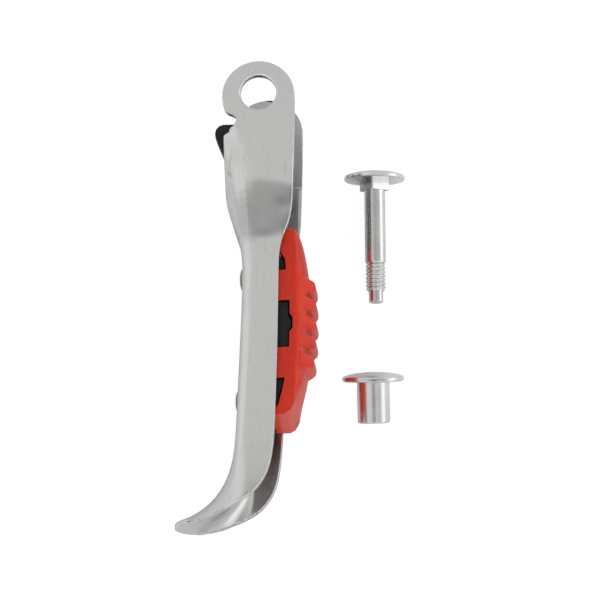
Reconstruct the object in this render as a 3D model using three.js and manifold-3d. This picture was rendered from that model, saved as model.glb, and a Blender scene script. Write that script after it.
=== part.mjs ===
// Lever arm of a lever corkscrew, lying on a table with its pivot screw and sleeve nut beside it.
// Millimetres, +Z up, the table is z = 0. The lever is drawn in its own frame: pivot axis along z
// through the origin, handle along -y, channel open towards +x, mid-plane z = 0.
import * as THREE from 'three';
import { mergeVertices } from 'three/addons/utils/BufferGeometryUtils.js';
import Module from 'manifold-3d';
const wasm = await Module();
wasm.setup();

// ---- driving dimensions -------------------------------------------------------------------
const EYE_HALF = 14.25;           // half the width over the two pivot eyes
const SHEET = 2.0;                // sheet thickness of the channel
const EYE_R = 8.75, EYE_HOLE_R = 4.3, EYE_HOLE_Y = 0.8, EYE_EASE = 0.5, EYE_SQUARE = 5.8;
const FAR_EYE_DROP = 0.5;         // how much lower the far eye stands than the near one
const INSET = 2.2;                // how far each flange steps in below the eyes
const SLOT_HALF = 3.4;            // half width of the beak's slot in the web
const RIVETS_Y = [-42.1, -72.4];  // the two rivets through the web
const RIVET_HEAD_R = 2.9, RIVET_SHANK_R = 1.7, RIVET_HEAD_H = 1.1;
const LATCH_HALF = 8.8, CAP_HALF = 9.6, PAD_HALF = 9.0, BEAK_HALF = 2.9, STEM_HALF = 4.4;
const TRAVEL = 5.0;               // travel of the thumb slide
const PAD_FLAT = 4.8, PAD_BASE = 9.4;   // the ridges slope down to the sides beyond PAD_FLAT
const FLOOR_X = [-2.0, -0.2];     // floor of the latch slider, which the rivets pass through
const RIDGE_PITCH = 4.6, RIDGE_TOP = -43.6, RIDGE_SWELL = [0, 0.15, 0.15, 0.05, -0.35];
const SPRING_R = 2.1, SPRING_WIRE = 0.32, SPRING_Y = [-69.7, -52.1], SPRING_X = 3.0;
const SPRING_TURNS = 9;
const HEAD_R = 7.4, NECK = 5.5, SHANK_R = 2.52, THREAD_R = 2.5, THREAD_ROOT = 2.05, PITCH = 0.95;
const SLEEVE_R = 3.9, SLEEVE_L = 10.0;
const SCREW_AT = [26.75, -13.3], NUT_AT = [26.15, -64.4];
const GAP = 0.12;                 // clearance left where two fixed pieces meet

// ---- helpers ------------------------------------------------------------------------------
const V2 = (x, y) => new THREE.Vector2(x, y);
const V3 = (x, y, z) => new THREE.Vector3(x, y, z);

function solid(geometry) {
  const g = geometry.clone();
  for (const name of Object.keys(g.attributes)) if (name !== 'position') g.deleteAttribute(name);
  const m = mergeVertices(g, 1e-4);
  const p = m.attributes.position.array, index = Array.from(m.index.array), tri = [];
  let volume = 0;
  for (let i = 0; i < index.length; i += 3) {
    const [a, b, c] = [index[i], index[i + 1], index[i + 2]];
    if (a === b || b === c || a === c) continue;
    tri.push(a, b, c);
    const [A, B, C] = [a, b, c].map((k) => V3(p[3 * k], p[3 * k + 1], p[3 * k + 2]));
    volume += A.dot(B.cross(C));
  }
  if (volume < 0) tri.reverse();
  const mesh = { numProp: 3, vertProperties: p, triVerts: new Uint32Array(tri) };
  return new wasm.Manifold(new wasm.Mesh(mesh));
}

function shapeOf(points) {
  return new THREE.Shape(points.map(([x, y]) => V2(x, y)));
}

// a plate cut into layers along z, with every point moved by warp(x, y, z)
function warped(shape, half, layers, warp) {
  const g = new THREE.ExtrudeGeometry(shape, { depth: 2 * half, bevelEnabled: false, steps: layers });
  g.translate(0, 0, -half);
  const p = g.attributes.position;
  for (let i = 0; i < p.count; i++) p.setXYZ(i, ...warp(p.getX(i), p.getY(i), p.getZ(i)));
  return solid(g);
}

// a plate with its outline in x-y, between two heights
function plate(shape, z0, z1, bevel = 0) {
  const g = new THREE.ExtrudeGeometry(shape, {
    depth: z1 - z0 - 2 * bevel, bevelEnabled: bevel > 0, bevelSize: bevel, bevelThickness: bevel,
    bevelOffset: -bevel, bevelSegments: 2, curveSegments: 20,
  });
  g.translate(0, 0, z0 + bevel);
  return solid(g);
}

function box(x0, x1, y0, y1, z0, z1) {
  const g = new THREE.BoxGeometry(x1 - x0, y1 - y0, z1 - z0);
  g.translate((x0 + x1) / 2, (y0 + y1) / 2, (z0 + z1) / 2);
  return solid(g);
}

// a closed [radius, height] outline turned about an axis: 'x', 'y' or 'z'
function turned(profile, axis = 'y', segments = 36) {
  const g = new THREE.LatheGeometry([...profile, profile[0]].map(([r, h]) => V2(r, h)), segments);
  if (axis === 'x') g.rotateZ(-Math.PI / 2);
  if (axis === 'z') g.rotateX(Math.PI / 2);
  return solid(g);
}

function rod(r, h0, h1, axis, segments = 28) {
  return turned([[0, h0], [r, h0], [r, h1], [0, h1]], axis, segments);
}

// a closed cylinder whose rings are carried by place(angle, height, radius)
function carried(around, along, place) {
  const g = new THREE.CylinderGeometry(1, 1, 1, around, along);
  const p = g.attributes.position;
  for (let i = 0; i < p.count; i++) {
    const turn = Math.round(Math.atan2(p.getX(i), p.getZ(i)) / (2 * Math.PI) * around);
    const radius = Math.hypot(p.getX(i), p.getZ(i));
    p.setXYZ(i, ...place((turn + around) % around, 0.5 - p.getY(i), radius));
  }
  return solid(g);
}

// a threaded bar along y from y = 0 down to -length, its crest running round as a helix
function threaded(root, crest, length, around, perPitch, pitch) {
  const steps = Math.round(length / pitch * perPitch);
  return carried(around, steps, (k, v, r) => {
    const phase = (v * length / pitch + k / around) % 1;
    const end = Math.min(1, Math.min(v, 1 - v) * steps / perPitch * 1.6);
    const radius = (root + (crest - root) * end * (1 - Math.abs(2 * phase - 1))) * r;
    const a = k / around * 2 * Math.PI;
    return [radius * Math.sin(a), -v * length, radius * Math.cos(a)];
  });
}

const parts = new THREE.Group();
function add(name, body, colour, roughness, metalness, matrix) {
  const { numProp, vertProperties, triVerts } = body.getMesh();
  const position = new Float32Array(vertProperties.length / numProp * 3);
  for (let i = 0; i < position.length; i++) {
    position[i] = vertProperties[Math.floor(i / 3) * numProp + i % 3];
  }
  const g = new THREE.BufferGeometry();
  g.setAttribute('position', new THREE.BufferAttribute(position, 3));
  g.setIndex(Array.from(triVerts));
  if (matrix) g.applyMatrix4(matrix);
  g.computeVertexNormals();
  const material = new THREE.MeshStandardMaterial({ color: colour, roughness, metalness });
  const mesh = new THREE.Mesh(g, material);
  mesh.name = name;
  parts.add(mesh);
}

// ---- lever channel ------------------------------------------------------------------------
// Web's outer line from above the eyes to beyond the tip: x, y and half width over the flanges.
const WEB = new THREE.CatmullRomCurve3([
  [-8.7, 6, EYE_HALF], [-8.7, -8, EYE_HALF], [-8.6, -18, EYE_HALF], [-8.1, -25, EYE_HALF - 0.1],
  [-6.6, -30.4, EYE_HALF - 0.9], [-4.9, -35.2, EYE_HALF - 1.8], [-4.1, -40.5, EYE_HALF - INSET],
  [-4.2, -52, EYE_HALF - INSET], [-4.8, -68, EYE_HALF - INSET], [-5.3, -80, EYE_HALF - INSET],
  [-5.9, -87, 12.0], [-7.5, -92, 11.8], [-10.1, -96.0, 11.3], [-13.3, -99.0, 10.8],
  [-17.0, -101.0, 10.4], [-21.5, -102.3, 10.2], [-26.5, -103.2, 10.2],
].map(([x, y, h]) => V3(x, y, h)), false, 'centripetal');

const smooth = (v, a, b) => THREE.MathUtils.smoothstep((v - a) / (b - a), 0, 1);

// outer radius of the bend between web and flange
function bendRadius(y) {
  return 4.4 + 2.8 * smooth(-y, 8, 20) - 4.4 * smooth(-y, 24, 40) + 4.6 * smooth(-y, 84, 98);
}

// the channel's outside (inset 0) or inside (inset = sheet) as one long bar, far too deep towards +x
function channelBar(inset, rings = 62, corner = 6) {
  const around = 2 * (corner + 1) + 2;
  const deep = 24 + inset;
  return carried(around, rings, (k, v, r) => {
    const c = WEB.getPointAt(v), t = WEB.getTangentAt(v);
    const turn = smooth(-c.y, 78, 93);
    const d = V2(1 - turn + turn * -t.y, turn * t.x).normalize();
    const half = c.z - inset, radius = Math.max(0.7, bendRadius(c.y) - inset);
    let u, w;
    if (k <= corner) {
      const a = k / corner * Math.PI / 2;
      [u, w] = [inset + radius * (1 - Math.sin(a)), -half + radius * (1 - Math.cos(a))];
    } else if (k <= 2 * corner + 1) {
      const a = (k - corner - 1) / corner * Math.PI / 2;
      [u, w] = [inset + radius * (1 - Math.cos(a)), half - radius * (1 - Math.sin(a))];
    } else {
      [u, w] = [deep, k === 2 * corner + 2 ? half : -half];
    }
    [u, w] = [deep / 2 + (u - deep / 2) * r, w * r];
    return [c.x + d.x * u, c.y + d.y * u, w];
  });
}

// edge of the flanges, from the eye down and round to the tip
const FLANGE_EDGE = [[8.7, -6], [8.55, -14], [8.35, -21], [8.15, -26], [7.6, -30], [6.6, -33],
  [5.55, -35.9], [4.95, -39.5], [4.8, -46], [4.6, -60], [4.3, -72], [4.0, -80], [3.5, -86],
  [2.6, -90.6], [1.0, -94], [-1.4, -96.8], [-4.3, -98.7], [-7.5, -100.25], [-11.3, -101.8],
  [-14.2, -102.5], [-17.4, -102.95], [-21, -103.2], [-26, -103.5]];

function sideOutline() {
  const edge = new THREE.SplineCurve(FLANGE_EDGE.map(([x, y]) => V2(x, y))).getPoints(78);
  return new THREE.Shape([V2(-40, -106), V2(-40, -9), V2(-8.7, -9), V2(-6.0, -7.5), V2(8.68, -7.5),
    ...edge.filter((p) => p.y < -7.6)]);
}

// tip seen from above: straight sides ending in a broad round nose
function noseOutline() {
  const s = new THREE.Shape();
  s.moveTo(20, -16);
  s.lineTo(20, 16);
  s.lineTo(-7.0, 16);
  s.lineTo(-7.0, 11.6);
  s.bezierCurveTo(-13.5, 9.6, -20.5, 7.2, -20.5, 0);
  s.bezierCurveTo(-20.5, -7.2, -13.5, -9.6, -7.0, -11.6);
  s.lineTo(-7.0, -16);
  return s;
}

// flange plate with the eye and the notch below it
function eyeOutline() {
  const s = new THREE.Shape();
  s.moveTo(8.55, -14);
  s.lineTo(8.75, -1.2);
  s.absarc(0, 0, EYE_R, -0.1, Math.PI + 0.25, false);
  s.bezierCurveTo(-8.3, -3.3, -7.9, -4.2, -6.7, -4.6);
  s.bezierCurveTo(-5.4, -5.0, -4.8, -6.0, -5.6, -6.9);
  s.lineTo(-5.95, -7.52);
  s.lineTo(-3.6, -9.4);
  s.lineTo(-3.6, -16);
  return s;
}

function leverChannel() {
  const nose = plate(noseOutline(), -30, 130).rotate([90, 0, 0]);
  let body = channelBar(0).intersect(plate(sideOutline(), -16, 16)).intersect(nose);
  body = body.subtract(channelBar(SHEET));
  const eye = eyeOutline();
  body = body.add(plate(eye, EYE_HALF - SHEET, EYE_HALF));
  body = body.add(plate(eye, -EYE_HALF, SHEET - EYE_HALF).translate([0, -FAR_EYE_DROP, 0]));
  const h = EYE_HALF, r = EYE_HOLE_R, e = EYE_EASE, sq = EYE_SQUARE / 2;
  body = body.subtract(turned([[0, 0], [r, 0], [r, h - e], [r + 0.3 * e, h - 0.3 * e], [r + e, h],
    [r + e, h + 1], [0, h + 1]], 'z', 40).translate([0, EYE_HOLE_Y, 0]));
  body = body.subtract(box(-sq, sq, EYE_HOLE_Y - sq, EYE_HOLE_Y + sq, -30, 0));
  body = body.subtract(box(-12, -4, -17.6, 0, -SLOT_HALF, SLOT_HALF));
  for (const y of RIVETS_Y) {
    body = body.subtract(rod(RIVET_SHANK_R + GAP, -9, 0, 'x', 24).translate([0, y, 0]));
  }
  return body;
}

// ---- latch slider: beak, stem and slotted tray in one moulding ------------------------------
function latchSlider() {
  const beak = shapeOf([[-3.3, -3.2], [-9.6, -3.2], [-10.6, -3.6], [-11.3, -4.4], [-11.55, -5.5],
    [-11.4, -6.6], [-9.2, -11.9], [-9.2, -12.6], [-6.2, -12.6], [-3.3, -13]]);
  const stem = shapeOf([[-6.2, -8.6], [-3.2, -8.6], [-3.2, -19], [-0.9, -30], [-0.2, -34],
    [-0.2, -40], [-2.0, -40], [-2.0, -35], [-2.7, -30.6], [-4.2, -26], [-5.6, -21], [-6.2, -16]]);
  const side = shapeOf([[-2.0, -34.2], [2.6, -34.2], [3.3, -36.3], [4.4, -38.1], [5.75, -40.1],
    [6.0, -42.2], [2.7, -42.2], [2.7, -50.2], [6.9, -50.2], [6.9, -53.6], [7.6, -54.5],
    [7.6, -56.6], [6.9, -57.5], [6.9, -61.2], [2.7, -61.2], [2.7, -69.2], [5.7, -69.2], [5.05, -72.1],
    [4.25, -75.1], [3.7, -76.2], [-2.0, -76.2]]);
  let body = plate(side, -LATCH_HALF, LATCH_HALF);
  const pocket = 5.6, wall = SPRING_Y[1] + 0.2;
  body = body.subtract(box(FLOOR_X[1], 12, wall + 2.2, -30, -pocket, pocket));
  body = body.subtract(box(FLOOR_X[1], 12, -80, wall, -pocket, pocket));
  body = body.add(plate(stem, -STEM_HALF, STEM_HALF)).add(plate(beak, -BEAK_HALF, BEAK_HALF));
  const half = RIVET_SHANK_R + 0.25;
  for (const y of RIVETS_Y) {
    const slot = box(-4, 1, y, y + TRAVEL + 0.4, -half, half)
      .add(rod(half, -4, 1, 'x', 20).translate([0, y, 0]))
      .add(rod(half, -4, 1, 'x', 20).translate([0, y + TRAVEL + 0.4, 0]));
    body = body.subtract(slot);
  }
  return body;
}

// ---- thumb slide --------------------------------------------------------------------------
const RIDGE = [[10.6, 0.1], [11.9, -0.15], [12.65, -0.6], [13.0, -1.3], [13.05, -2.1], [12.9, -2.9],
  [12.35, -3.5], [11.5, -3.75], [10.6, -3.8]];

function ridgeOutline() {
  const pts = [[PAD_BASE, RIDGE_TOP + 0.1]];
  RIDGE_SWELL.forEach((swell, i) => {
    for (const [x, dy] of RIDGE) pts.push([x + swell, RIDGE_TOP - i * RIDGE_PITCH + dy]);
  });
  const last = pts[pts.length - 1][1];
  return shapeOf([...pts, [PAD_BASE, last]]);
}

// share of its height that a ridge still has at a distance z from the middle
function ridgeShare(z) {
  return 1 - 0.9 * Math.max(0, (Math.abs(z) - PAD_FLAT) / (PAD_HALF - PAD_FLAT));
}

// share of the back's height over ROUND_FROM that is lost at a distance z from the middle
const ROUND_FROM = 8.3;
function roundOff(z) {
  const t = Math.max(0, (Math.abs(z) / CAP_HALF - 0.2) / 0.8);
  return 0.08 * (z / CAP_HALF) ** 2 + 0.85 * (1 - Math.sqrt(Math.max(0, 1 - t * t)));
}

function thumbSlide() {
  const back = new THREE.SplineCurve([[8.2, -32.4], [9.2, -32.9], [9.9, -34.6], [10.7, -38.8],
    [11.35, -44], [11.65, -52], [11.45, -60], [10.75, -66.9], [9.65, -71.2], [8.4, -75.0], [7.2, -77.2],
  ].map(([x, y]) => V2(x, y))).getPoints(30);
  const shell = new THREE.Shape([V2(4.6, -32.9), V2(5.6, -32.4), ...back, V2(6.0, -77.9), V2(2.8, -77.9),
    V2(2.6, -76.8), V2(4.0, -76.5), V2(4.6, -75.1), V2(5.4, -72.1), V2(6.1, -68.9), V2(3.0, -68.9),
    V2(3.0, -61.5), V2(7.2, -61.5), V2(7.2, -57.8), V2(7.9, -56.8), V2(7.9, -54.3), V2(7.2, -53.3),
    V2(7.2, -49.9), V2(3.0, -49.9), V2(3.0, -42.5), V2(6.3, -42.5), V2(6.1, -39.9), V2(4.9, -37.8),
    V2(3.9, -36.2), V2(3.8, -33.6)]);
  const body = warped(shell, CAP_HALF, 20, (x, y, z) => {
    const w = CAP_HALF * Math.sin(z / CAP_HALF * Math.PI / 2);
    return [x - Math.max(0, x - ROUND_FROM) * roundOff(w), y, w];
  });
  const pad = warped(ridgeOutline(), PAD_HALF, 16,
    (x, y, z) => [PAD_BASE + (x - PAD_BASE) * ridgeShare(z), y, z]);
  return body.subtract(box(0, 6.9, -76.3, -33.5, -6.4, 6.4)).add(pad);
}

// ---- rivets, washers and spring -----------------------------------------------------------
function webX(y) {
  let best = WEB.getPointAt(0);
  for (let i = 1; i <= 300; i++) {
    const p = WEB.getPointAt(i / 300);
    if (Math.abs(p.y - y) < Math.abs(best.y - y)) best = p;
  }
  return best.x;
}

// pan head outside the web, shank through it, and a post inside that the slider runs round
function rivet(y, post) {
  const r = RIVET_HEAD_R, s = RIVET_SHANK_R, h = RIVET_HEAD_H, top = 1.3;
  const x = Math.min(webX(y - r), webX(y), webX(y + r)) - GAP;
  const profile = [[0, x - h], [r * 0.45, x - h * 0.96], [r * 0.78, x - h * 0.75], [r, x - h * 0.3],
    [r, x], [s, x], [s, top], [s + 0.7, top], [s + 0.7, post - 0.3], [s + 0.3, post], [0, post]];
  return turned(profile, 'x', 28).translate([0, y, 0]);
}

function washer(y) {
  const r = RIVET_SHANK_R + GAP, rim = 3.4;
  return turned([[r, 0.15], [rim, 0.15], [rim, 1.15], [r, 1.15]], 'x', 32).translate([0, y, 0]);
}

class Helix extends THREE.Curve {
  getPoint(t, target = new THREE.Vector3()) {
    const a = t * SPRING_TURNS * 2 * Math.PI, length = SPRING_Y[1] - SPRING_Y[0] - 2 * SPRING_WIRE;
    const y = SPRING_Y[0] + SPRING_WIRE + t * length;
    return target.set(SPRING_X + SPRING_R * Math.cos(a), y, SPRING_R * Math.sin(a));
  }
}

function returnSpring() {
  const wire = new THREE.Shape();
  for (let i = 0; i < 6; i++) {
    const a = i / 6 * 2 * Math.PI;
    wire[i ? 'lineTo' : 'moveTo'](SPRING_WIRE * Math.cos(a), SPRING_WIRE * Math.sin(a));
  }
  return solid(new THREE.ExtrudeGeometry(wire, { steps: SPRING_TURNS * 12, extrudePath: new Helix() }));
}

// ---- pivot screw and sleeve nut, each drawn with its head up at y = 0 --------------------------
const DOME = [[0, 0], [2.4, -0.07], [4.4, -0.27], [5.9, -0.55], [6.8, -0.82], [7.2, -1.02],
  [HEAD_R, -1.3], [HEAD_R, -1.95], [7.1, -2.2]];
const HEAD_H = 2.2, NECK_L = 2.4, SHANK_L = 18.0, THREAD_L = 6.7, DOG_L = 3.0;

function pivotScrew() {
  const n = NECK / 2, neck = -HEAD_H - NECK_L, shank = neck - SHANK_L, thread = shank - THREAD_L;
  let body = turned([...DOME, [0, -HEAD_H]], 'y', 44);
  const round = rod(NECK * 0.66, neck, 0.1 - HEAD_H, 'y', 32);
  body = body.add(box(-n, n, neck, 0.1 - HEAD_H, -n, n).intersect(round));
  body = body.add(turned([[0, neck + 0.1], [SHANK_R, neck + 0.1], [SHANK_R, shank + 0.4], [2.2, shank],
    [0, shank]], 'y', 32));
  const ridge = threaded(THREAD_ROOT, THREAD_R, THREAD_L + 0.2, 18, 6, PITCH);
  body = body.add(ridge.translate([0, shank + 0.1, 0]));
  const end = thread - DOG_L;
  return body.add(turned([[0, thread + 0.5], [1.75, thread + 0.5], [1.75, end + 0.3], [1.45, end],
    [0, end]], 'y', 24));
}

function sleeveNut() {
  const end = -HEAD_H - SLEEVE_L, r = SLEEVE_R;
  let body = turned([...DOME, [r, -HEAD_H], [r, end + 0.3], [r - 0.3, end], [0, end]], 'y', 44);
  body = body.subtract(threaded(2.1, 2.5, 9.0, 18, 4, PITCH).translate([0, end + 8.6, 0]));
  return body.subtract(turned([[0, 0.4], [0.9, 0.4], [0.1, -0.5], [0, -0.5]], 'y', 16));
}

// lying on the rim of its head and on a point endR from the axis: the axis dips by this angle
const RIM_Y = 1.95;
const lieAngle = (endR, length) => Math.atan((HEAD_R - endR) / (length - RIM_Y));
const LAST_CREST = HEAD_H + NECK_L + SHANK_L + THREAD_L - 0.7, NUT_END = HEAD_H + SLEEVE_L - 0.3;

function lying(at, angle, spin) {
  // the head's rim, RIM_Y below its top, touches the table
  const z = HEAD_R * Math.cos(angle) + RIM_Y * Math.sin(angle);
  return new THREE.Matrix4().makeTranslation(at[0], at[1], z)
    .multiply(new THREE.Matrix4().makeRotationX(angle))
    .multiply(new THREE.Matrix4().makeRotationY(spin));
}

// ---- the lever rests on its wide end and on the bend at its tip -----------------------------
const REST_Y = -24.5, HEEL_Y = -98;
const lie = Math.asin((INSET + 0.15) / (REST_Y - HEEL_Y));
const LEVER = new THREE.Matrix4().makeTranslation(0, REST_Y, 0)
  .multiply(new THREE.Matrix4().makeRotationX(lie))
  .multiply(new THREE.Matrix4().makeTranslation(0, -REST_Y, EYE_HALF));

add('lever_channel', leverChannel(), 0xb9bab8, 0.25, 1.0, LEVER);
add('latch_slider', latchSlider(), 0x232323, 0.5, 0.0, LEVER);
add('thumb_slide', thumbSlide(), 0xd8432e, 0.5, 0.0, LEVER);
add('upper_rivet', rivet(RIVETS_Y[0], 2.2), 0xb0b0ae, 0.3, 1.0, LEVER);
add('lower_rivet', rivet(RIVETS_Y[1], 5.2), 0xb0b0ae, 0.3, 1.0, LEVER);
add('upper_washer', washer(RIVETS_Y[0]), 0xa8a8a6, 0.35, 1.0, LEVER);
add('lower_washer', washer(RIVETS_Y[1]), 0xa8a8a6, 0.35, 1.0, LEVER);
add('return_spring', returnSpring(), 0x9a9a98, 0.35, 1.0, LEVER);
add('pivot_screw', pivotScrew(), 0xc4c4c4, 0.2, 1.0,
  lying(SCREW_AT, lieAngle(THREAD_R, LAST_CREST), 0.66));
add('sleeve_nut', sleeveNut(), 0xc4c4c4, 0.2, 1.0, lying(NUT_AT, lieAngle(SLEEVE_R, NUT_END), 0.2));

// ---- origin at the bottom centre of the whole set -------------------------------------------
const whole = new THREE.Box3().setFromObject(parts), middle = whole.getCenter(new THREE.Vector3());
for (const mesh of parts.children) mesh.geometry.translate(-middle.x, -middle.y, -whole.min.z);

export default parts;
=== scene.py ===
"""Looks of a lever arm for a lever corkscrew, with its pivot screw and sleeve nut lying beside it."""
import math
import bmesh
import bpy
from mathutils import Matrix, Vector
from mathutils.bvhtree import BVHTree


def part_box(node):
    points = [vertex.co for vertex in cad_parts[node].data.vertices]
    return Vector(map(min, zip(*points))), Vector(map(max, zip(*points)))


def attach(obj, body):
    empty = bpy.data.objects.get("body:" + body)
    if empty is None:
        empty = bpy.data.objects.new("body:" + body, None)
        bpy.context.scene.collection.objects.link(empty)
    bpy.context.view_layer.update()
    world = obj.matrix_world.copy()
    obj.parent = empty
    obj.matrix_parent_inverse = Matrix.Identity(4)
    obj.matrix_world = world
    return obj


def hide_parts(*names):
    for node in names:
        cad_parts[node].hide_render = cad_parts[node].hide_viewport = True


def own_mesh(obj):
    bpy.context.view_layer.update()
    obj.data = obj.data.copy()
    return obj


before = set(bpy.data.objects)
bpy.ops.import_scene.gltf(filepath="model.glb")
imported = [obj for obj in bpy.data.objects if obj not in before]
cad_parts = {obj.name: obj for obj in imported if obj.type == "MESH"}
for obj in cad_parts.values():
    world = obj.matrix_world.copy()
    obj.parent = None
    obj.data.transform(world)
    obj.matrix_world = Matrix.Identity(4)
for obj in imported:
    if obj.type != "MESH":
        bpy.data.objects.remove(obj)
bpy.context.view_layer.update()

MM = 0.001

# ---- the lever's own frame: pivot axis along z, handle along -y, channel open towards +x ---------
LIE = math.asin(2.35 / 73.5)              # the lever lies on its wide end and on its bend, so it is tipped
WASHER_AT = Vector((0.65, -42.1, 0.0))    # centre of the upper washer in the lever's frame
EYE_HALF = 14.25                          # half the width over the eyes
STEP_IN = 2.2                             # how far the press has stepped each flange in below the eyes

washer_low, washer_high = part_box("upper_washer")
LEVER = (Matrix.Translation((washer_low + washer_high) / (2 * MM))
         @ Matrix.Rotation(LIE, 4, "X") @ Matrix.Translation(-WASHER_AT))


def smooth(v, a, b):
    t = min(1.0, max(0.0, (v - a) / (b - a)))
    return t * t * (3 - 2 * t)


def hump(v, centre, width):
    return math.exp(-((v - centre) / width) ** 2)


# ---- node trees ----------------------------------------------------------------------------------
class Tree:
    """A shader tree that is built by naming each node's settings and what feeds its sockets."""

    def __init__(self, tree):
        self.nodes, self.links = tree.nodes, tree.links

    def feed(self, socket, value):
        if isinstance(value, bpy.types.NodeSocket):
            self.links.new(value, socket)
        elif value is not None:
            socket.default_value = value

    def add(self, kind, inputs=None, **settings):
        node = self.nodes.new("ShaderNode" + kind)
        for key, value in settings.items():
            setattr(node, key, value)
        for key, value in (inputs or {}).items():
            self.feed(node.inputs[key], value)
        return node

    def math(self, operation, a, b=0.0, clamp=False):
        node = self.add("Math", {0: a, 1: b}, operation=operation, use_clamp=clamp)
        return node.outputs[0]

    def noise(self, vector, scale, detail=2.0, rough=0.5):
        inputs = {"Vector": vector, "Scale": scale, "Detail": detail, "Roughness": rough}
        return self.add("TexNoise", inputs).outputs[0]

    def span(self, value, a, b, low=0.0, high=1.0, kind="SMOOTHSTEP"):
        node = self.add("MapRange", {0: value, 1: a, 2: b, 3: low, 4: high}, interpolation_type=kind)
        return node.outputs[0]

    def stretch(self, vector, scale, turn=(0, 0, 0), shift=(0, 0, 0)):
        node = self.add("Mapping", {"Vector": vector, "Scale": scale, "Rotation": turn, "Location": shift})
        return node.outputs[0]

    def tint(self, mask, a, b):
        node = self.add("Mix", {0: mask, 6: a, 7: b}, data_type="RGBA")
        return node.outputs[2]


def group(name, inputs, outputs):
    """A node group with named sockets, its tree, its input sockets and its output node."""
    data = bpy.data.node_groups.new(name, "ShaderNodeTree")
    kinds = {"v": "NodeSocketVector", "f": "NodeSocketFloat", "c": "NodeSocketColor"}
    for label, kind in inputs:
        data.interface.new_socket(label, in_out="INPUT", socket_type=kinds[kind])
    for label, kind in outputs:
        data.interface.new_socket(label, in_out="OUTPUT", socket_type=kinds[kind])
    tree = Tree(data)
    start, end = tree.nodes.new("NodeGroupInput"), tree.nodes.new("NodeGroupOutput")
    return data, tree, start.outputs, end.inputs


def grain_group():
    """Fine grain of tumbled metal or moulded plastic: a height and a slow cloud, both 0 to 1."""
    data, t, given, out = group("fine grain", [("Vector", "v"), ("Grain", "f"), ("Cloud", "f")],
                                [("Height", "f"), ("Cloud", "f")])
    fine = t.noise(given["Vector"], given["Grain"], 3.0, 0.6)
    t.feed(out["Height"], fine)
    slow = t.noise(given["Vector"], given["Cloud"], 3.0, 0.55)
    t.feed(out["Cloud"], t.span(slow, 0.32, 0.68))
    return data


def scratch_group():
    """Thin scratches that run mostly one way, as a mask of 0 to 1."""
    data, t, given, out = group("scratches", [("Vector", "v"), ("Scale", "f"), ("Amount", "f")],
                                [("Mask", "f")])
    masks = []
    for turn, long in ((0.12, 0.05), (-0.5, 0.07), (1.1, 0.06)):
        stretched = t.stretch(given["Vector"], (1.0, long, 1.0), (0.3, 0.0, turn))
        thread = t.noise(stretched, given["Scale"], 1.0, 0.4)
        patch = t.noise(given["Vector"], 160.0 + 90.0 * abs(turn), 1.0)
        line = t.span(thread, 0.655, 0.69)
        masks.append(t.math("MULTIPLY", line, t.span(patch, 0.45, 0.6)))
    both = t.math("MAXIMUM", t.math("MAXIMUM", masks[0], masks[1]), masks[2])
    t.feed(out["Mask"], t.math("MULTIPLY", both, given["Amount"], clamp=True))
    return data


def rim_wear_and_highlight_group():
    """Rims lightened as rubbed wear and as a painted highlight: the rim attribute that the pieces carry,
    broken up by noise.
    """
    data, t, given, out = group("rubbed and highlighted rims", [("Vector", "v"), ("Scale", "f"), ("Amount", "f")],
                                [("Mask", "f")])
    rim = t.add("Attribute", attribute_name="rim").outputs["Fac"]
    broken = t.noise(given["Vector"], given["Scale"], 3.0, 0.7)
    mask = t.math("MULTIPLY", rim, t.span(broken, 0.25, 0.65))
    t.feed(out["Mask"], t.math("MULTIPLY", mask, given["Amount"], clamp=True))
    return data


def dimple_group():
    """Slow unevenness left by pressing and tumbling sheet metal, as a height."""
    data, t, given, out = group("pressed unevenness", [("Vector", "v"), ("Scale", "f")], [("Height", "f")])
    wide = t.noise(given["Vector"], given["Scale"], 1.0, 0.4)
    narrow = t.noise(given["Vector"], t.math("MULTIPLY", given["Scale"], 3.1), 1.0, 0.4)
    t.feed(out["Height"], t.math("ADD", wide, t.math("MULTIPLY", narrow, 0.12)))
    return data


GRAIN, SCRATCH, RIM_WEAR_AND_HIGHLIGHT, DIMPLE = grain_group(), scratch_group(), rim_wear_and_highlight_group(), dimple_group()


def use(tree, data, **inputs):
    node = tree.add("Group", node_tree=data)
    for key, value in inputs.items():
        tree.feed(node.inputs[key], value)
    return node.outputs


def rgb(r, g, b):
    return (r, g, b, 1.0)


def finish_of(name, build):
    material = bpy.data.materials.new(name)
    material.use_nodes = True
    tree = Tree(material.node_tree)
    tree.nodes.clear()
    shader = tree.add("BsdfPrincipled")
    out = tree.add("OutputMaterial", {"Surface": shader.outputs[0]})
    place = tree.add("TexCoord").outputs["Object"]
    build(tree, shader, place)
    return material


# pale colour of rubbed rims, which also serves as their painted highlight
RUBBED_AND_HIGHLIGHT = rgb(0.9, 0.9, 0.89)
SCRATCHED = rgb(0.3, 0.3, 0.3)
# dark grey of the painted shade inside the lever's channel
PAINTED_INSIDE_SHADE = rgb(0.12, 0.12, 0.12)
STEEL_GRAIN_DEPTH = 0.000004


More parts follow.
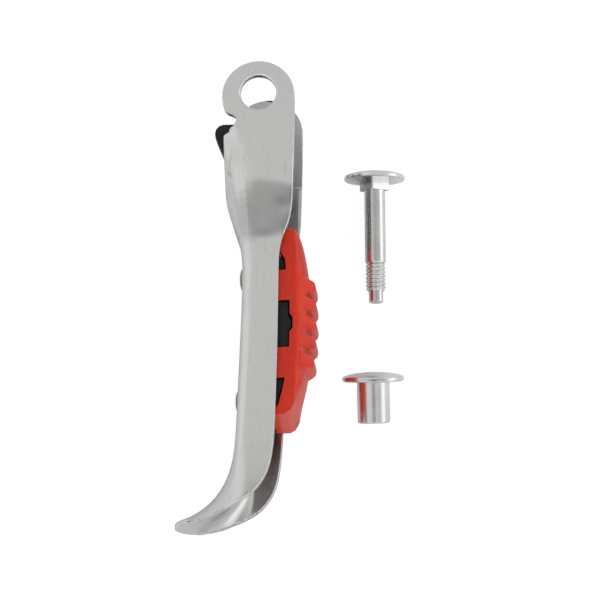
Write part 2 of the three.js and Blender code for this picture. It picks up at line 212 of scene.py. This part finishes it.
def steel(name, dark, light, rough, grain=6000.0, cloud=90.0, dimple=70.0, uneven=0.00012, scratch=0.5,
          rim_rough=0.0, inside=0.0):
    """Polished steel: clouded colour, scratches, rims lightened as rubbed wear and painted highlight,
    painted shade on the inside when asked, a fine grain and slow waves in its bump.
    """
    def build(t, shader, place):
        shader.inputs["Metallic"].default_value = 1.0
        soft = use(t, GRAIN, Vector=place, Grain=grain, Cloud=cloud)
        lines = use(t, SCRATCH, Vector=place, Scale=2600.0, Amount=scratch)["Mask"]
        rim_wear_and_highlight = use(t, RIM_WEAR_AND_HIGHLIGHT, Vector=place, Scale=900.0, Amount=0.8)["Mask"]
        base = t.tint(soft["Cloud"], dark, light)
        # rims lightened: rubbed wear and a painted highlight along the edges
        base = t.tint(rim_wear_and_highlight, base, RUBBED_AND_HIGHLIGHT)
        base = t.tint(t.math("MULTIPLY", lines, 0.35), base, SCRATCHED)
        if inside:
            # painted shade: the channel's inside is darkened towards a dark grey, where the real inside
            # lies in shade
            inside_shade = t.add("Attribute", attribute_name="inside_shade").outputs["Fac"]
            base = t.tint(t.math("MULTIPLY", inside_shade, inside), base, PAINTED_INSIDE_SHADE)
        t.feed(shader.inputs["Base Color"], base)
        cloud_rough = t.span(soft["Cloud"], 0.0, 1.0, rough * 0.85, rough * 1.15, "LINEAR")
        speck = t.math("MULTIPLY", soft["Height"], 0.08)
        total = t.math("ADD", t.math("ADD", cloud_rough, speck), t.math("MULTIPLY", lines, 0.12))
        t.feed(shader.inputs["Roughness"], t.math("ADD", total, t.math("MULTIPLY", rim_wear_and_highlight, rim_rough)))
        waves = use(t, DIMPLE, Vector=place, Scale=dimple)["Height"]
        wavy = t.add("Bump", {"Height": waves, "Distance": uneven, "Strength": 1.0}).outputs[0]
        fine = t.math("SUBTRACT", soft["Height"], t.math("MULTIPLY", lines, 0.6))
        bump = t.add("Bump", {"Height": fine, "Distance": STEEL_GRAIN_DEPTH, "Strength": 0.5,
                              "Normal": wavy})
        t.feed(shader.inputs["Normal"], bump.outputs[0])
    return finish_of(name, build)


def moulded(name, dark, light, wear_and_highlight_colour, rough, bumps, rim_wear_and_highlight_amount, coat=0.0, sheen=0.5):
    """Moulded plastic: a slow cloud in the colour, fine spark texture, rims lightened as rubbed wear and
    painted highlight.
    """
    def build(t, shader, place):
        shader.inputs["Metallic"].default_value = 0.0
        shader.inputs["IOR"].default_value = 1.5
        shader.inputs["Specular IOR Level"].default_value = sheen
        shader.inputs["Coat Weight"].default_value = coat
        shader.inputs["Coat Roughness"].default_value = 0.2
        soft = use(t, GRAIN, Vector=place, Grain=3500.0, Cloud=120.0)
        rim_wear_and_highlight = use(t, RIM_WEAR_AND_HIGHLIGHT, Vector=place, Scale=1100.0, Amount=rim_wear_and_highlight_amount)["Mask"]
        lines = use(t, SCRATCH, Vector=place, Scale=2200.0, Amount=0.5)["Mask"]
        base = t.tint(soft["Cloud"], dark, light)
        # rims lightened towards a paler colour: rubbed wear and a painted highlight
        base = t.tint(rim_wear_and_highlight, base, wear_and_highlight_colour)
        base = t.tint(t.math("MULTIPLY", lines, 0.25), base, wear_and_highlight_colour)
        t.feed(shader.inputs["Base Color"], base)
        level = t.span(soft["Cloud"], 0.0, 1.0, rough * 0.9, rough * 1.12, "LINEAR")
        t.feed(shader.inputs["Roughness"], t.math("ADD", level, t.math("MULTIPLY", lines, 0.1)))
        spark = t.math("SUBTRACT", soft["Height"], t.math("MULTIPLY", lines, 0.4))
        bump = t.add("Bump", {"Height": spark, "Distance": bumps, "Strength": 0.6})
        t.feed(shader.inputs["Normal"], bump.outputs[0])
    return finish_of(name, build)


# the lever's channel gets painted shade on its inside
LEVER_STEEL = steel("tumbled lever steel", rgb(0.63, 0.63, 0.62), rgb(0.67, 0.67, 0.66), 0.22, cloud=40.0,
                    dimple=50.0, scratch=0.35, rim_rough=0.2, inside=0.35)
RIVET_STEEL = steel("rivet steel", rgb(0.26, 0.26, 0.25), rgb(0.36, 0.36, 0.35), 0.3, uneven=0.00003)
WASHER_STEEL = steel("stamped washer steel", rgb(0.5, 0.5, 0.49), rgb(0.58, 0.58, 0.57), 0.34,
                     uneven=0.00003)
SPRING_STEEL = steel("drawn spring wire", rgb(0.4, 0.4, 0.4), rgb(0.5, 0.5, 0.49), 0.28, uneven=0.00001)
BRIGHT_STEEL = steel("bright plated steel", rgb(0.7, 0.7, 0.69), rgb(0.76, 0.76, 0.75), 0.19,
                     cloud=200.0, uneven=0.00002, scratch=0.3)
LATCH_BLACK = moulded("black moulding", rgb(0.007, 0.007, 0.0075), rgb(0.012, 0.012, 0.0125),
                      rgb(0.05, 0.05, 0.05), 0.42, 0.000006, 0.6, sheen=0.25)
SLIDE_RED = moulded("red moulding", rgb(0.37, 0.013, 0.003), rgb(0.43, 0.020, 0.005),
                    rgb(0.62, 0.07, 0.03), 0.34, 0.000005, 0.5, coat=0.05, sheen=0.3)


# ---- pieces --------------------------------------------------------------------------------------
def drawn(node, weld=0.004, flat=0.5):
    """A merged copy of a CAD node's mesh, in millimetres, its flats made single faces."""
    bm = bmesh.new()
    bm.from_mesh(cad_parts[node].data)
    bmesh.ops.scale(bm, vec=(1 / MM,) * 3, verts=bm.verts)
    bmesh.ops.remove_doubles(bm, verts=bm.verts, dist=0.001)
    bmesh.ops.dissolve_degenerate(bm, edges=bm.edges, dist=weld)
    bmesh.ops.dissolve_limit(bm, angle_limit=math.radians(flat), verts=bm.verts, edges=bm.edges)
    return bm


def rims(bm, angle, thin):
    """Edges sharper than the angle, but not those of a face that is narrower than thin."""
    def narrow(face):
        return face.calc_area() < thin * max(e.calc_length() for e in face.edges)
    return [e for e in bm.edges if len(e.link_faces) == 2 and e.calc_face_angle(0) > math.radians(angle)
            and not any(narrow(f) for f in e.link_faces)]


def round_rims(bm, width, angle=32, segments=2, clamp=False, thin=0.25):
    """Rounds every sharp edge, and marks the middle of the new strips with the rim attribute.

    A corner that the rounding throws off the old surface is put back on it.
    """
    before = BVHTree.FromBMesh(bm)
    made = bmesh.ops.bevel(bm, geom=rims(bm, angle, thin), offset=width, offset_type="OFFSET",
                           segments=segments, profile=0.5, affect="EDGES", material=-1,
                           clamp_overlap=clamp)
    for v in bm.verts:
        near, _, _, away = before.find_nearest(v.co)
        if away > 0.5 * width:
            v.co = near
    layer = bm.verts.layers.float.new("rim")
    strips = set(made["faces"])
    for v in {v for face in strips for v in face.verts}:
        v[layer] = 1.0 if strips.issuperset(v.link_faces) else 0.0
    return bm


def piece(bm, name, material, body, replaces):
    """Turns a bmesh in millimetres into a finished piece that rides on a body."""
    bmesh.ops.scale(bm, vec=(MM,) * 3, verts=bm.verts)
    for face in bm.faces:
        face.smooth = True
    mesh = bpy.data.meshes.new(name)
    bm.to_mesh(mesh)
    bm.free()
    mesh.materials.append(material)
    made = bpy.data.objects.new(name, mesh)
    bpy.context.scene.collection.objects.link(made)
    weights = made.modifiers.new("weights", "WEIGHTED_NORMAL")
    weights.weight, weights.keep_sharp = 60, False
    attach(made, body)
    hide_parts(*replaces)
    return made


def ramp(t, soft):
    """0 to 1 at an even slope, with a short bend at each end."""
    t = min(1.0, max(0.0, t))
    steep = 1 / (1 - soft)
    if t < soft:
        return steep * t * t / (2 * soft)
    if t > 1 - soft:
        return 1 - steep * (1 - t) ** 2 / (2 * soft)
    return steep * (t - soft / 2)


def stepped_half(x, y):
    """Half the width over the flanges where the press has stepped them in below the eyes."""
    start, stop = -19.5 - 0.28 * max(0.0, x), -37.0 + 0.3 * max(0.0, x)
    half = EYE_HALF - STEP_IN * ramp((start - y) / (start - stop), 0.16)
    low_hollow = 0.14 * hump(x, 2.2, 2.4) * hump(y, -35.6, 1.9)
    edge_hollow = 0.12 * hump(x, 6.6, 2.2) * hump(y, -27.5, 1.9)
    return half - low_hollow - edge_hollow


def cut_rows(bm, axis, places, keep):
    """Cuts the faces that keep() accepts along the planes that cross an axis at these places."""
    normal = Vector((0.0, 0.0, 0.0))
    normal[axis] = 1.0
    for place in places:
        faces = [f for f in bm.faces if keep(f.calc_center_bounds())]
        edges = dict.fromkeys(e for f in faces for e in f.edges)
        verts = dict.fromkeys(v for f in faces for v in f.verts)
        bmesh.ops.bisect_plane(bm, geom=[*faces, *edges, *verts], plane_co=normal * place,
                               plane_no=normal, dist=0.0001)


def outer_levels(bm):
    """The drawn flange's half width against y, read from its own vertices beside the step."""
    levels = {}
    for v in bm.verts:
        guess = EYE_HALF - STEP_IN * smooth(-v.co.y, 20, 42)
        if v.co.x > -0.5 and -46 < v.co.y < -10 and v.co.z > guess - 0.6:
            key = round(v.co.y, 2)
            levels[key] = max(levels.get(key, 0.0), v.co.z)
    return sorted(levels.items())


def level_at(levels, y):
    """The half width at y, in a straight line between the two nearest rows."""
    for (y0, z0), (y1, z1) in zip(levels, levels[1:]):
        if y0 <= y <= y1:
            return z0 + (z1 - z0) * (y - y0) / max(1e-6, y1 - y0)
    return levels[-1][1] if y > levels[-1][0] else levels[0][1]


def flange(at):
    """True beside the step: on either flange, from below the eyes to above the handle."""
    return abs(at.z) > 9.3 and at.x > -5.5 and -43 < at.y < -15


def step_flanges(bm, levels):
    """Draws the outside of both flanges to the pressed step, and leaves their inside where it is."""
    cut_rows(bm, 1, [-16 - 0.5 * i for i in range(50)], flange)
    cut_rows(bm, 0, [-4.5 + 1.0 * i for i in range(13)], flange)
    for v in bm.verts:
        if flange(v.co) and -41 < v.co.y < -17:
            share = smooth(v.co.x, -4.5, 0.5) * smooth(v.co.y, -41, -39) * smooth(-v.co.y, 17, 19)
            level = level_at(levels, v.co.y)
            share *= smooth(abs(v.co.z), level - 1.7, level - 0.5)
            outward = 1.0 if v.co.z > 0 else -1.0
            v.co.z += outward * share * (stepped_half(v.co.x, v.co.y) - level)


def mark_inside(bm):
    """Marks the channel's inside for painted shade, which darkens its colour, fading out towards the tip.
    """
    bm.normal_update()
    inside_shade = bm.verts.layers.float.new("inside_shade")
    for v in bm.verts:
        on_flange = -v.normal.z * math.copysign(1, v.co.z) > 0.5
        on_web = v.normal.x > 0.5 and abs(v.co.z) < 12
        v[inside_shade] = smooth(v.co.y, -90, -78) if on_flange or on_web else 0.0


def lever():
    bm = drawn("lever_channel", 0.02, 0.1)
    bm.transform(LEVER.inverted())
    levels = outer_levels(bm)
    round_rims(bm, 0.26, 32, 2)
    step_flanges(bm, levels)
    mark_inside(bm)
    bm.transform(LEVER)
    piece(bm, "lever_sheet", LEVER_STEEL, "lever", ["lever_channel"])


def slide():
    bm = drawn("thumb_slide", 0.03, 0.1)
    round_rims(bm, 0.28, 40, 3, thin=0.4)
    piece(bm, "red_thumb_slide", SLIDE_RED, "latch", ["thumb_slide"])


def latch():
    bm = drawn("latch_slider", 0.004, 0.1)
    round_rims(bm, 0.22, 30, 2)
    piece(bm, "black_latch", LATCH_BLACK, "latch", ["latch_slider"])


def simple(node, name, material, body, width, angle=30):
    """A piece that is its CAD node with small rounded edges."""
    bm = round_rims(drawn(node), width, angle, clamp=True, thin=0.0)
    return piece(bm, name, material, body, [node])


def spring():
    made = simple("return_spring", "coil_spring", SPRING_STEEL, "lever", 0.02, 60)
    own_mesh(made)


lever()
slide()
latch()
for which in ("upper", "lower"):
    simple(which + "_rivet", which + "_rivet_turned", RIVET_STEEL, "lever", 0.12)
    simple(which + "_washer", which + "_washer_stamped", WASHER_STEEL, "lever", 0.1)
spring()
simple("pivot_screw", "pivot_screw_turned", BRIGHT_STEEL, "screw", 0.12, 40)
simple("sleeve_nut", "sleeve_nut_turned", BRIGHT_STEEL, "nut", 0.15, 40)


# ---- floor, light and camera ---------------------------------------------------------------------
CAMERA_AT = (0.05367, -0.22466, 0.69533)
CAMERA_RIGHT = (0.9972, 0.0024, -0.0745)
CAMERA_UP = (0.021, 0.9501, 0.3114)
CAMERA_BACK = (0.0715, -0.3121, 0.9474)
TABLE_SEEN, TABLE_LIT = rgb(0.12, 0.12, 0.12), rgb(0.6, 0.6, 0.6)
TABLE_GLOW = 0.93
# the studio's level: component of the direction, where it starts and ends, what it adds there
STUDIO = (("Y", 0.0, 0.22, 0.48, 0.86), ("Y", 0.25, 0.42, 0.0, -0.2), ("X", 0.75, 0.99, 0.0, 0.9),
          ("X", -0.2, -0.6, 0.0, 0.16), ("Y", -0.2, -0.5, 0.0, 0.45))
LENS_SHADE = 0.42


def floor():
    """A pale table that looks white to the camera and lights the pieces as a grey one would."""
    bm = bmesh.new()
    bmesh.ops.create_grid(bm, x_segments=2, y_segments=2, size=2.5)
    mesh = bpy.data.meshes.new("table_top")
    bm.to_mesh(mesh)
    bm.free()
    made = bpy.data.objects.new("table_top", mesh)
    bpy.context.scene.collection.objects.link(made)

    def build(t, shader, place):
        seen = t.add("LightPath").outputs["Is Camera Ray"]
        t.feed(shader.inputs["Base Color"], t.tint(seen, TABLE_LIT, TABLE_SEEN))
        t.feed(shader.inputs["Emission Strength"], t.math("MULTIPLY", seen, TABLE_GLOW))
        shader.inputs["Roughness"].default_value = 0.9
        shader.inputs["Specular IOR Level"].default_value = 0.1
        shader.inputs["Emission Color"].default_value = rgb(1, 1, 1)
    mesh.materials.append(finish_of("white table", build))


def sky():
    """A soft studio: brighter towards the back, the front and the right, darker round the lens."""
    world = bpy.data.worlds.new("studio")
    bpy.context.scene.world = world
    world.use_nodes = True
    t = Tree(world.node_tree)
    t.nodes.clear()
    way = t.add("TexCoord").outputs["Generated"]
    axes = t.add("SeparateXYZ", {0: way}).outputs
    level = 0.0
    for axis, start, stop, low, high in STUDIO:
        level = t.math("ADD", level, t.span(axes[axis], start, stop, low, high))
    towards = t.add("VectorMath", {0: way, 1: CAMERA_BACK}, operation="DOT_PRODUCT").outputs["Value"]
    shade = t.math("MULTIPLY", t.span(towards, 0.962, 0.99), LENS_SHADE)
    level = t.math("SUBTRACT", level, shade)
    seen = t.add("LightPath").outputs["Is Camera Ray"]
    level = t.add("Mix", {0: seen, 2: level, 3: 1.0}, data_type="FLOAT").outputs[0]
    back = t.add("Background", {"Color": rgb(1, 1, 1), "Strength": level})
    t.add("OutputWorld", {"Surface": back.outputs[0]})


def softbox(name, at, size, power):
    """A large soft light that the metal does not mirror, aimed just above the table's middle."""
    data = bpy.data.lights.new(name, "AREA")
    data.shape, data.size, data.size_y, data.energy = "RECTANGLE", size[0], size[1], power
    made = bpy.data.objects.new(name, data)
    bpy.context.scene.collection.objects.link(made)
    made.location = at
    made.visible_glossy = False
    made.rotation_euler = (Vector((0.0, 0.0, 0.01)) - Vector(at)).to_track_quat("-Z", "Y").to_euler()


def camera():
    data = bpy.data.cameras.new("camera")
    data.sensor_width, data.lens, data.clip_end = 36.0, 180.0, 20.0
    made = bpy.data.objects.new("camera", data)
    bpy.context.scene.collection.objects.link(made)
    turn = Matrix((CAMERA_RIGHT, CAMERA_UP, CAMERA_BACK)).transposed().to_4x4()
    made.matrix_world = Matrix.Translation(CAMERA_AT) @ turn
    bpy.context.scene.camera = made


floor()
sky()
softbox("back_window", (0.35, 0.95, 0.5), (0.8, 0.5), 11.0)
softbox("front_window", (0.45, -0.95, 0.4), (0.8, 0.4), 9.0)
camera()
bpy.context.scene.view_settings.view_transform = "Standard"
